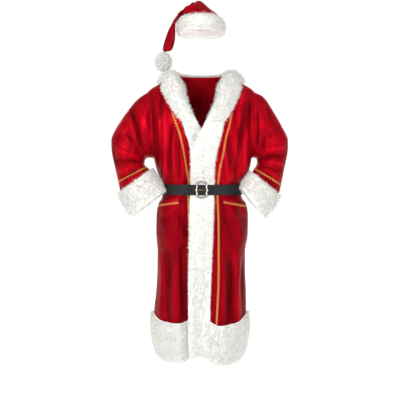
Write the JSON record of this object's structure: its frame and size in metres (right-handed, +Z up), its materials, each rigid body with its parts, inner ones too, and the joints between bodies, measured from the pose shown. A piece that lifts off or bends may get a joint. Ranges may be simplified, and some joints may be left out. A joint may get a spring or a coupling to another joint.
{
  "type": "santa suit",
  "caption": "Red velour santa suit, worn and hollow: long coat with white plush trim and gold braid, black belt with ring buckle, and hat with pompom.",
  "frame": {"origin": "middle of the wearer's neck at shoulder height, inside the open collar, where the wearer holds the suit up", "axes": "+Z up, -Y towards the suit's front, +X towards the wearer's left"},
  "size_m": [0.8575, 0.3411, 1.7422],
  "materials": {
    "red_velour": "short-pile velour with a satin sheen",
    "white_plush": "long-pile plush",
    "gold_braid": "metallic yarn zigzag",
    "black_belt": "smooth coated, half gloss",
    "buckle_metal": "antique plated, worn bright on its edges"
  },
  "bodies": {
    "root": {"coat_back": "red_velour", "coat_front_left": "red_velour", "coat_front_right": "red_velour", "sleeve_left": "red_velour", "sleeve_right": "red_velour", "pocket_left": "red_velour", "pocket_right": "red_velour", "fur_collar": "white_plush", "fur_front_left": "white_plush", "fur_front_right": "white_plush", "fur_hem": "white_plush", "cuff_left": "white_plush", "cuff_right": "white_plush", "braid_front_left": "gold_braid", "braid_front_right": "gold_braid", "braid_sleeve_left": "gold_braid", "braid_sleeve_right": "gold_braid", "braid_pocket_left": "gold_braid", "braid_pocket_right": "gold_braid", "belt": "black_belt", "belt_keeper": "black_belt", "buckle": "buckle_metal", "hat_crown": "red_velour", "hat_band": "white_plush", "hat_pompom": "white_plush"}
  },
  "joints": []
}
